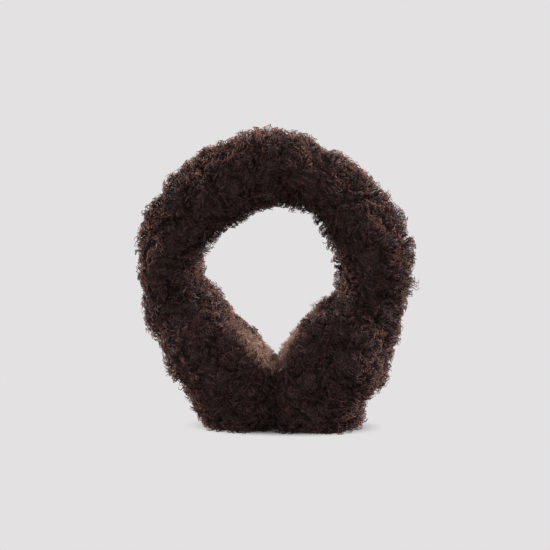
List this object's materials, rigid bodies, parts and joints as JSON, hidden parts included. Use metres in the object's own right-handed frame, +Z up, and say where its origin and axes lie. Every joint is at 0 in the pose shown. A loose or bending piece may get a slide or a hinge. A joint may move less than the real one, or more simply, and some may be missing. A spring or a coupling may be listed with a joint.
{
  "type": "earmuffs",
  "caption": "Curly dark brown shearling earmuffs with a thick fur headband and puffy round ear pads that meet below.",
  "frame": {"origin": "on the surface it stands on, under the middle of the bounding box", "axes": "+Z up through the top of the headband, +X to the right as seen from the front, -Y to the front"},
  "size_m": [0.1852, 0.107, 0.1992],
  "materials": {
    "curly_shearling": "deep curly shearling pile, dark brown, matt with lighter tips",
    "plush_lining": "short soft plush pile, pinkish brown, matt"
  },
  "bodies": {
    "root": {"headband_left": "curly_shearling", "headband_right": "curly_shearling", "ear_pad_left": "curly_shearling", "ear_pad_right": "curly_shearling", "ear_lining_left": "plush_lining", "ear_lining_right": "plush_lining"}
  },
  "joints": []
}
